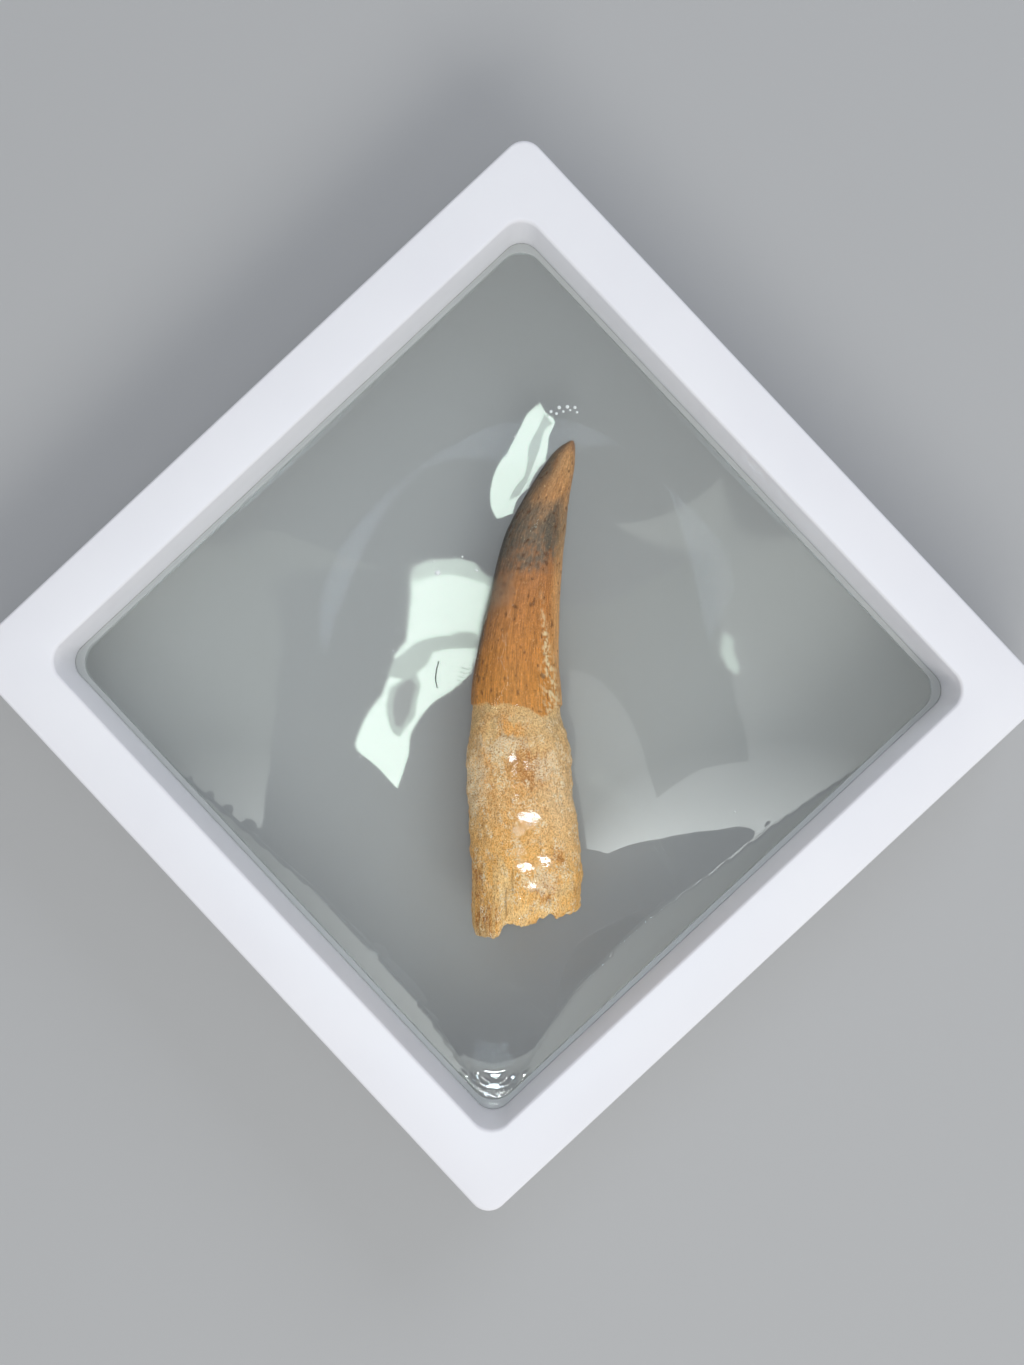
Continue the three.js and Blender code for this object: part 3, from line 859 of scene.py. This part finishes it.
def bridged_ring(name, outlines):
    """A ring through outlines given as (half side, corner radius, height), left in edit mode.

    The outlines are bridged while they stand 1 mm apart in a stack, because two that lie flat, one
    inside the other, would be bridged crosswise. Each then goes to its own height.
    """
    clear_selection()
    ring = bpy.data.objects.new(name, bpy.data.meshes.new(name))
    bpy.context.scene.collection.objects.link(ring)
    select_only(ring)
    bpy.ops.object.mode_set(mode="EDIT")
    for level, (half, radius, _) in enumerate(outlines):
        add_loop(half, radius, level)
    for level, (half, _, _) in enumerate(outlines):
        following = (level + 1) % len(outlines)
        select_loops(ring, (half, level), (outlines[following][0], following))
        bpy.ops.mesh.bridge_edge_loops()
    bpy.ops.object.mode_set(mode="OBJECT")
    co = coordinates(ring)
    co[:, 2] = np.repeat([z * MM for _, _, z in outlines], len(co) // len(outlines))
    set_coordinates(ring, co)
    bpy.ops.object.mode_set(mode="EDIT")
    bpy.ops.mesh.select_all(action="SELECT")
    bpy.ops.mesh.normals_make_consistent(inside=False)
    return ring


# %% The frosted rim that a film is welded to
def film_rim(up):
    outer_half = (window_half - rim_play) / MM
    outer_radius = (window_radius - rim_play) / MM
    lean = 0.07
    low = (mid_depth + up * film_base) / MM
    high = (mid_depth + up * rim_height) / MM
    inner = (clear_half / MM, clear_radius / MM)
    rim = bridged_ring(
        "film_rim",
        [(outer_half, outer_radius, low), (outer_half + lean, outer_radius, high), (*inner, high), (*inner, low)],
    )
    bpy.ops.object.mode_set(mode="OBJECT")
    apply_modifier(rim, "BEVEL", width=0.08 * MM, segments=3, limit_method="ANGLE")
    return rim


# %% Bubbles and creases in the front film
bubbles = (
    (6.4, 38.6, 0.24), (7.2, 38.3, 0.22), (7.6, 39.2, 0.28), (8.2, 38.6, 0.2), (8.8, 39.3, 0.28),
    (9.2, 38.8, 0.18),
    (9.9, 39.2, 0.25), (10.2, 38.5, 0.2), (1.2, 34.9, 0.22), (-0.1, 32.1, 0.15), (-10.1, 15.0, 0.4),
    (-10.7, 16.6, 0.13), (-6.5, 17.3, 0.16), (-4.4, 15.3, 0.22), (-21.4, -11.8, 0.13), (-16.6, 3.6, 0.13),
    (-16.0, 6.6, 0.11), (33.2, -19.9, 0.16),
)
creases = (
    ((-9.9, 2.1), (-10.2, 0.9), (-10.4, -0.4), (-10.1, -1.8)),
    ((-6.6, 1.3), (-5.9, 0.9), (-5.3, 1.0)),
    ((-6.9, 0.6), (-6.1, 0.3), (-5.3, 0.4)),
    ((-7.2, 0.0), (-6.4, -0.3), (-5.4, -0.2)),
    ((-7.3, -0.6), (-6.6, -0.8), (-5.8, -0.6)),
)


def on_the_film(film_tree, right_mm, up_mm):
    """The point of the front film under a place of the picture."""
    above = on_picture(right_mm, up_mm, frame_depth)
    return film_tree.ray_cast(above, Vector((0, 0, -1)))[0]


def bubble(film_tree, right_mm, up_mm, radius_mm):
    clear_selection()
    bpy.ops.mesh.primitive_ico_sphere_add(
        subdivisions=2, radius=radius_mm * MM, location=on_the_film(film_tree, right_mm, up_mm)
    )
    bpy.context.object.scale.z = 0.6
    bpy.ops.object.transform_apply(location=True, rotation=True, scale=True)
    bpy.ops.object.shade_smooth()
    return bpy.context.object


def crease(film_tree, line, radius_mm):
    """A thin raised thread along a line of places."""
    clear_selection()
    points = [on_the_film(film_tree, *spot) for spot in line]
    bpy.ops.mesh.primitive_circle_add(
        vertices=6, radius=radius_mm * MM, fill_type="NGON", location=points[0], rotation=(math.pi / 2, 0, turn)
    )
    thread = bpy.context.object
    bpy.ops.object.mode_set(mode="EDIT")
    bpy.ops.mesh.select_all(action="SELECT")
    for start, end in zip(points, points[1:]):
        bpy.ops.mesh.extrude_region_move(TRANSFORM_OT_translate={"value": end - start})
    bpy.ops.mesh.select_all(action="SELECT")
    bpy.ops.mesh.normals_make_consistent(inside=False)
    bpy.ops.object.mode_set(mode="OBJECT")
    bpy.ops.object.transform_apply(location=True, rotation=True, scale=True)
    return thread


# %% [markdown]
# ## The films: their finish
# A clear film shows what is behind it and mirrors a little of what is above it, more at a flat angle.
# Refraction would cost many bounces for a sheet this thin and bend nothing that the eye can see. So
# a see-through shader is mixed with a glossy one, whose share grows at a flat angle and falls where the
# film lies on the tooth. At the wet spots a fine bump breaks the mirror into glints.

# %% Materials of the film and its rim
def film_material(name, sheen):
    tree = Tree(name)
    through = tree.node("BsdfTransparent", {"Color": (0.975, 0.982, 0.98, 1)})
    grain = tree.noise(tree.node("TexCoord").outputs["Object"], 1100, 2, 0.6)
    wet = tree.attribute("wet")
    height = tree.math("MULTIPLY", grain, wet)
    bump = tree.node("Bump", {"Strength": 1.0, "Distance": 0.06 * MM, "Height": height}).outputs[0]
    mirror = tree.node("BsdfGlossy", {"Color": (1, 1, 1, 1), "Roughness": 0.02, "Normal": bump})
    facing = tree.node("LayerWeight", {"Blend": 0.5}).outputs["Facing"]
    share = tree.span(tree.math("POWER", facing, 5.0), 0.0, 1.0, 0.05 * sheen, 0.85)
    broken = tree.span(tree.math("ADD", wet, grain), 0.95, 1.05)
    covered = tree.math("MAXIMUM", tree.attribute("resting"), tree.math("SUBTRACT", wet, broken))
    clear_of_tooth = tree.span(covered, 0.0, 1.0, 1.0, 0.06)
    share = tree.math("MULTIPLY", share, clear_of_tooth)
    mixed = tree.node("MixShader", {0: share, 1: through.outputs[0], 2: mirror.outputs[0]})
    return tree.finish(mixed.outputs[0])


def rim_material():
    tree = Tree("frosted_film_rim")
    through = tree.node("BsdfTransparent", {"Color": (0.9, 0.92, 0.91, 1)})
    frost = tree.node("BsdfPrincipled", {"Base Color": srgb(205, 208, 206), "Roughness": 0.3})
    mixed = tree.node("MixShader", {0: 0.7, 1: through.outputs[0], 2: frost.outputs[0]})
    return tree.finish(mixed.outputs[0])


def speck_material(name, colour):
    tree = Tree(name)
    speck = tree.node("BsdfPrincipled", {"Base Color": colour, "Roughness": 0.2})
    return tree.finish(speck.outputs[0])


clear_finishes = {1: film_material("clear_front_film", 1.0), -1: film_material("clear_back_film", 0.03)}
rim_finish = rim_material()
speck_finish = speck_material("air_bubble", srgb(235, 240, 238))
crease_finish = speck_material("film_crease", srgb(88, 96, 92))
film_tree = bvhtree.BVHTree.FromObject(films[1], bpy.context.evaluated_depsgraph_get())
marks = [bubble(film_tree, *spot) for spot in bubbles]
for mark in marks:
    mark.data.materials.append(speck_finish)
threads = [crease(film_tree, line, 0.09) for line in creases]
for mark in threads:
    mark.data.materials.append(crease_finish)
# The peel line is an opaque light grey thread: a painted highlight of the crease in the clear film.
peel_line_painted_highlight = crease(film_tree, peel_line[1:-1], 0.03)
peel_line_painted_highlight.data.materials.append(speck_material("peel_line_painted_highlight", srgb(186, 192, 190)))
threads.append(peel_line_painted_highlight)
for up, body, node in ((1, "front_half", "front_film"), (-1, "back_half", "back_film")):
    film = films[up]
    film.data.materials.append(clear_finishes[up])
    if up > 0:
        select_only(*marks, *threads, film)
        bpy.ops.object.join()
    rim = film_rim(up)
    rim.name = node + "_rim"
    rim.data.materials.append(rim_finish)
    for piece in (film, rim):
        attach(piece, body)
    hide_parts(node)
print("pieces in the front film:", 1 + len(marks) + len(threads))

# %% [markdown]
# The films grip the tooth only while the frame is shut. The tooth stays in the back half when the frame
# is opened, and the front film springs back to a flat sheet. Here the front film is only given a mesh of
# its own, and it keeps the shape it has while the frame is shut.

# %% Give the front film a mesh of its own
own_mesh(films[1])

# %% [markdown]
# ## The frame: its form
# The display frame is moulded in two halves that part at mid depth. Each is a ring with a sloping
# inner wall, rounded edges and a shallow seat for its film. It could be cut from a block by booleans,
# but rounded squares that are bridged one to the next give clean walls that take a bevel well. The
# hinge's knuckles and the nail scoop cross those walls, so they are the boolean cuts and joins.

# %% Sizes of the frame, in mm
outer_radius = 2.9
edge_round = 0.5
parting_play = 0.05
seat_depth = 0.3
face_inner_half = 46.93
face_inner_radius = 3.4
hinge_axis_y = 53.6
barrel_radius = 1.3
pin_radius = 0.6
knuckle_length = 8
ear_length = 3.5
hinge_play = 0.3
hinge_centres = (-33, 33)
half_side = frame_half / MM
half_depth = mid_depth / MM
seat_half = bonded_half / MM + 0.2
foot_half = window_half / MM
foot_radius = window_radius / MM


# %% One half as a ring
def half_ring(name, up):
    """One half of the frame, with its edges rounded."""
    parting = half_depth + up * parting_play
    seat = half_depth + up * (parting_play + seat_depth)
    face = half_depth + up * half_depth
    outlines = [
        (half_side, outer_radius, parting),
        (half_side, outer_radius, face),
        (face_inner_half, face_inner_radius, face),
        (foot_half, foot_radius, seat),
        (seat_half, 1.0, seat),
        (seat_half, 1.0, parting),
    ]
    ring = bridged_ring(name, outlines)
    select_loops(ring, (half_side, face), (face_inner_half, face))
    bpy.ops.mesh.bevel(offset=edge_round * MM, segments=6, profile=0.5)
    select_loops(ring, (half_side, parting), (foot_half, seat))
    bpy.ops.mesh.bevel(offset=0.16 * MM, segments=3, profile=0.5)
    bpy.ops.object.mode_set(mode="OBJECT")
    return ring


# %% Cutting and joining solids
def combine(piece, tool, operation):
    """Cuts a tool out of a piece, or joins it on, and removes the tool."""
    apply_modifier(piece, "BOOLEAN", object=tool, operation=operation, solver="EXACT")
    bpy.data.objects.remove(tool)


def barrel(x, radius, length):
    """A round bar on the hinge's axis."""
    clear_selection()
    bpy.ops.mesh.primitive_cylinder_add(
        vertices=40,
        radius=radius * MM,
        depth=length * MM,
        location=(x * MM, hinge_axis_y * MM, mid_depth),
        rotation=(0, math.pi / 2, 0),
    )
    bpy.ops.object.transform_apply(location=True, rotation=True, scale=True)
    return bpy.context.object


def hinge_groove():
    """A square bar stood on its edge, which cuts the 45 degree bevel on the hinge side."""
    clear_selection()
    bar_reach = 4.0
    bar_edge = hinge_axis_y - hinge_play / 2
    bpy.ops.mesh.primitive_cube_add(
        size=1, location=(0, (bar_edge + bar_reach) * MM, mid_depth), rotation=(math.pi / 4, 0, 0)
    )
    bar = bpy.context.object
    bar.scale = (2.1 * frame_half, bar_reach * math.sqrt(2) * MM, bar_reach * math.sqrt(2) * MM)
    bpy.ops.object.transform_apply(location=True, rotation=True, scale=True)
    return bar


def nail_scoop():
    """A flat ellipsoid across the parting line, opposite the hinge."""
    clear_selection()
    scoop_place = (0, -frame_half, mid_depth)
    bpy.ops.mesh.primitive_uv_sphere_add(segments=64, ring_count=32, radius=MM, location=scoop_place)
    scoop = bpy.context.object
    scoop.scale = (9, 0.9, 2.2)
    bpy.ops.object.transform_apply(location=True, rotation=True, scale=True)
    return scoop


# %% Make both halves
ear_offset = knuckle_length / 2 + hinge_play + ear_length / 2
pin_length = knuckle_length + 2 * hinge_play + ear_length
frames = {}
for up, name in ((1, "front_frame_moulding"), (-1, "back_frame_moulding")):
    ring = half_ring(name, up)
    combine(ring, hinge_groove(), "DIFFERENCE")
    combine(ring, nail_scoop(), "DIFFERENCE")
    for centre in hinge_centres:
        ears = [centre - ear_offset, centre + ear_offset]
        if up > 0:
            for x in ears:
                combine(ring, barrel(x, barrel_radius + hinge_play, ear_length + 2 * hinge_play), "DIFFERENCE")
            combine(ring, barrel(centre, barrel_radius, knuckle_length), "UNION")
            combine(ring, barrel(centre, pin_radius, pin_length), "UNION")
        else:
            knuckle_room = knuckle_length + 2 * hinge_play
            combine(ring, barrel(centre, barrel_radius + hinge_play, knuckle_room), "DIFFERENCE")
            for x in ears:
                combine(ring, barrel(x, barrel_radius, ear_length), "UNION")
            combine(ring, barrel(centre, pin_radius + hinge_play / 2, pin_length + 2 * hinge_play), "DIFFERENCE")
    select_only(ring)
    bpy.ops.object.shade_smooth_by_angle(angle=math.radians(28))
    frames[up] = ring
    low, high = coordinates(ring).min(0), coordinates(ring).max(0)
    print(name, len(ring.data.polygons), "faces", np.round(low / MM, 2), np.round(high / MM, 2))

# %% [markdown]
# ## The frame's finish
# The frame is white moulded plastic with a soft shine. Its surface is smooth to the eye, with the very
# fine grain of the mould and a slight unevenness in its gloss and its white.

# %% Material of the frame
def plastic_material():
    tree = Tree("white_satin_plastic")
    spot = tree.node("TexCoord").outputs["Object"]
    cloud = tree.noise(spot, 40, 3, 0.5)
    colour = tree.mix(tree.span(cloud, 0.3, 0.7), srgb(231, 231, 234), srgb(236, 236, 238))
    grain = tree.noise(spot, 2600, 2, 0.5)
    bump = tree.node("Bump", {"Strength": 0.12, "Distance": 0.05 * MM, "Height": grain}).outputs[0]
    rough = tree.span(cloud, 0.3, 0.7, 0.3, 0.4)
    shader = tree.node("BsdfPrincipled", {"Base Color": colour, "Roughness": rough, "Normal": bump})
    return tree.finish(shader.outputs[0])


plastic = plastic_material()
for up, body, node in ((1, "front_half", "front_frame"), (-1, "back_half", "back_frame")):
    ring = frames[up]
    ring.data.materials.clear()
    ring.data.materials.append(plastic)
    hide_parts(node)
    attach(ring, body)

# %% [markdown]
# ## The studio
# The floor is a plain pale sheet. Two soft lights stand at the sides and are hidden from mirrors, so the
# films stay clear. A film shows as a film by what it mirrors, so a window, a skylight and the walls of a
# room hang overhead as panes that only mirrors show. A card beside them hides a patch that the photograph
# doesn't show. Larger lamps could stand in for the panes, but a lamp has no corners to match.

# %% Floor
clear_selection()
bpy.ops.mesh.primitive_plane_add(size=3, location=(0, 0, -0.02 * MM))
floor = bpy.context.object
floor.name = "floor"
floor_tree = Tree("pale_floor")
floor_shader = floor_tree.node("BsdfPrincipled", {"Base Color": srgb(178, 179, 178), "Roughness": 0.85})
floor.data.materials.append(floor_tree.finish(floor_shader.outputs[0]))


# %% Lights
def softbox(name, right_mm, up_mm, height_mm, size_mm, brightness, colour, roll=0.0, flat=False):
    """A rectangular lamp placed by the picture's directions, which looks at the frame or straight down."""
    data = bpy.data.lights.new(name, "AREA")
    data.shape = "RECTANGLE"
    data.size = size_mm[0] * MM
    data.size_y = size_mm[1] * MM
    data.energy = brightness * math.pi * data.size * data.size_y
    data.color = colour
    lamp = bpy.data.objects.new(name, data)
    bpy.context.scene.collection.objects.link(lamp)
    lamp.location = on_picture(right_mm, up_mm, height_mm * MM)
    aim = Vector((0, 0, -1)) if flat else Vector((0, 0, mid_depth)) - lamp.location
    lamp.rotation_euler = aim.to_track_quat("-Z", "Y").to_euler()
    if flat:
        lamp.rotation_euler = (0, 0, turn + roll)
    return lamp


for lamp in (
    softbox("key", 200, -620, 640, (620, 360), 5.3, (1.0, 0.985, 0.955)),
    softbox("fill", 420, 560, 520, (420, 420), 2.7, (0.8, 0.86, 1.0)),
):
    lamp.visible_glossy = False

# Outlines of the panes and the card, in mm across and up the picture
pane_height = 714
pane_spacing = 0.2
pane_light = 7.6
window_bright = (
    (-185, 151), (-180, 165), (-180, 180), (-182, 183), (-190, 175), (-203, 158), (-222, 136),
    (-235, 125), (-250, 109), (-256, 95), (-262, 75), (-266, 50), (-272, 24), (-278, 0), (-289, -25), (-297, -54),
    (-302, -78), (-278, -57), (-261, -45), (-257, -37), (-250, -2), (-245, 29), (-237, 53), (-228, 73), (-222, 91),
    (-212, 108), (-201, 126), (-189, 144),
)
window_head = (
    (-193, 139), (-189, 144), (-185, 151), (-180, 165), (-178, 180), (-181, 186), (-190, 176), (-187, 165),
    (-188, 155),
)
window_bar = (
    (-217, 139), (-218, 131), (-221, 120), (-222, 107), (-224, 94), (-228, 80), (-230, 69), (-237, 50), (-243, 55),
    (-242, 69), (-238, 84), (-231, 97), (-230, 110), (-229, 124), (-228, 131),
)
window_blot = (
    (-242, 68), (-251, 59), (-260, 40), (-269, 23), (-274, -9), (-268, -7), (-256, 11), (-250, 24), (-244, 39),
    (-242, 58),
)
window_blot_core = (
    (-244, 61), (-250, 55), (-258, 38), (-265, 22), (-269, 4), (-266, 2), (-258, 15), (-252, 27), (-246, 42),
    (-244, 55),
)
skylight = (
    (17, 235), (26, 242), (36, 244), (40, 248), (36, 256), (32, 262), (30, 279), (29, 285), (20, 307), (-23, 318),
    (-64, 327), (-113, 305), (-146, 291), (-151, 264), (-152, 251), (-146, 251), (-134, 251), (-116, 254),
    (-95, 257), (-72, 259), (-50, 261), (-31, 256), (-15, 249), (-3, 241), (9, 237),
)
skylight_bar = (
    (23, 242), (12, 255), (0, 263), (-12, 273), (-24, 289), (-48, 304), (-82, 297), (-117, 286), (-95, 311),
    (-55, 316), (-25, 306), (-3, 293), (13, 277), (23, 256), (36, 249),
)
wall_right = (
    (180, 183), (188, 124), (200, 54), (208, -12), (210, -89), (243, -93), (301, -124), (284, -68), (253, 9),
    (233, 58), (220, 90), (243, 68), (308, 20), (400, -39), (518, -136), (481, -209), (457, -212), (388, -215),
    (327, -221), (280, -213), (242, -204), (217, -193), (190, -188), (165, -200), (140, -200), (140, -150),
    (150, -60), (155, 0), (165, 80), (175, 165),
)
side_gap = ((198, 62), (200, 54), (203, 40), (204, 25), (203, 16), (201, 24), (200, 40), (198, 52))
wall_between = (
    (186, 130), (196, 54), (204, -12), (206, -93), (243, -97), (306, -130), (290, -68), (258, 9), (238, 58),
    (222, 95),
)
wall_left = (
    (-188, 135), (-196, 87), (-208, 39), (-219, -22), (-226, -89), (-226, -170), (-208, -140), (-190, -100),
    (-170, -60), (-170, 60),
)
low_left = (
    (-150, -28), (-113, -56), (-89, -77), (-62, -103), (-40, -127), (-15, -160), (-15, -185), (-50, -140),
    (-70, -125), (-113, -78), (-150, -45),
)
low_right = (
    (-8, -155), (3, -137), (18, -114), (43, -89), (71, -69), (97, -50), (128, -30), (128, -42), (97, -72),
    (69, -95), (41, -125), (12, -155), (-5, -175),
)
ceiling_low = ((-120, -230), (130, -230), (110, -150), (0, -120), (-95, -150))
daylight = (0.84, 1.0, 0.89)
indoors = (0.95, 1.0, 0.98)
foot_glow = 3.2
world_light = 0.61
world_colour = (0.92, 0.94, 1.0)
card = ((-66, 37), (-66, 48), (-52, 58), (-48, 56), (-48, 42), (-54, 37))
card_height = 110
panes = (
    ("wall_between", wall_between, 0.7, indoors),
    ("window_bright", window_bright, pane_light, daylight),
    ("window_bar", window_bar, 0.45 * pane_light, daylight),
    ("window_blot", window_blot, 0.42 * pane_light, daylight),
    ("window_blot_core", window_blot_core, 0.16 * pane_light, indoors),
    ("window_head", window_head, 0.6 * pane_light, daylight),
    ("skylight", skylight, pane_light, daylight),
    ("skylight_bar", skylight_bar, 0.5 * pane_light, daylight),
    ("wall_right", wall_right, 1.2, indoors),
    ("wall_left", wall_left, 0.9, indoors),
    ("side_gap", side_gap, 0.5 * pane_light, daylight),
    ("ceiling_low", ceiling_low, 0.5, indoors),
    ("low_left", low_left, 1.2, indoors),
    ("low_right", low_right, 0.8, indoors),
)


def glowing_pane(name, outline, light, colour, height_mm):
    """A flat bright shape overhead that only mirrors show, drawn by its corners in the picture's mm.

    It glows more towards its foot when the foot lies below the picture's middle.
    """
    clear_selection()
    bpy.ops.mesh.primitive_circle_add(vertices=len(outline), radius=1, fill_type="NGON")
    pane = bpy.context.object
    pane.name = name
    set_coordinates(pane, [on_picture(across_mm, up_mm, height_mm * MM) for across_mm, up_mm in outline])
    tree = Tree(name)
    spot = tree.node("TexCoord").outputs["Object"]
    up_the_picture = tree.node("VectorMath", {0: spot, 1: picture_up}, operation="DOT_PRODUCT").outputs["Value"]
    strength = tree.span(up_the_picture, -60 * MM, -215 * MM, light, foot_glow * light)
    glow = tree.node("Emission", {"Color": (*colour, 1), "Strength": strength})
    pane.data.materials.append(tree.finish(glow.outputs[0]))
    pane.visible_camera = False
    pane.visible_diffuse = False
    pane.visible_shadow = False
    pane.visible_transmission = False


for number, (name, outline, light, colour) in enumerate(panes):
    glowing_pane(name, outline, light, colour, pane_height - pane_spacing * number)
glowing_pane("card", card, world_light, world_colour, card_height)
print("panes overhead:", len(panes), "and a card", card_height, "mm up")
glints = (
    softbox("corner_glint", -14, -144, 600, (30, 9), 60.0, (0.93, 0.98, 1.0), flat=True),
    softbox("wet_glint", -10, -45, 600, (80, 66), 20.0, (0.72, 0.9, 1.0), flat=True),
)
for lamp in glints:
    lamp.visible_diffuse = False

world = bpy.data.worlds.new("studio")
world.use_nodes = True
world.node_tree.nodes["Background"].inputs[0].default_value = (*world_colour, 1)
world.node_tree.nodes["Background"].inputs[1].default_value = world_light
bpy.context.scene.world = world
bpy.context.scene.view_settings.view_transform = "Standard"

# %% [markdown]
# A ray from the camera passes both films, and each film is a shell with two faces. The ray that then
# looks for the light passes them again. The usual limit of 8 would turn the floor under the films
# black, so it's raised.

# %% Let light through the films
bpy.context.scene.cycles.transparent_max_bounces = 24

# %% Print the size of the imported model
print("cad box", [list(c) for c in cad_box])
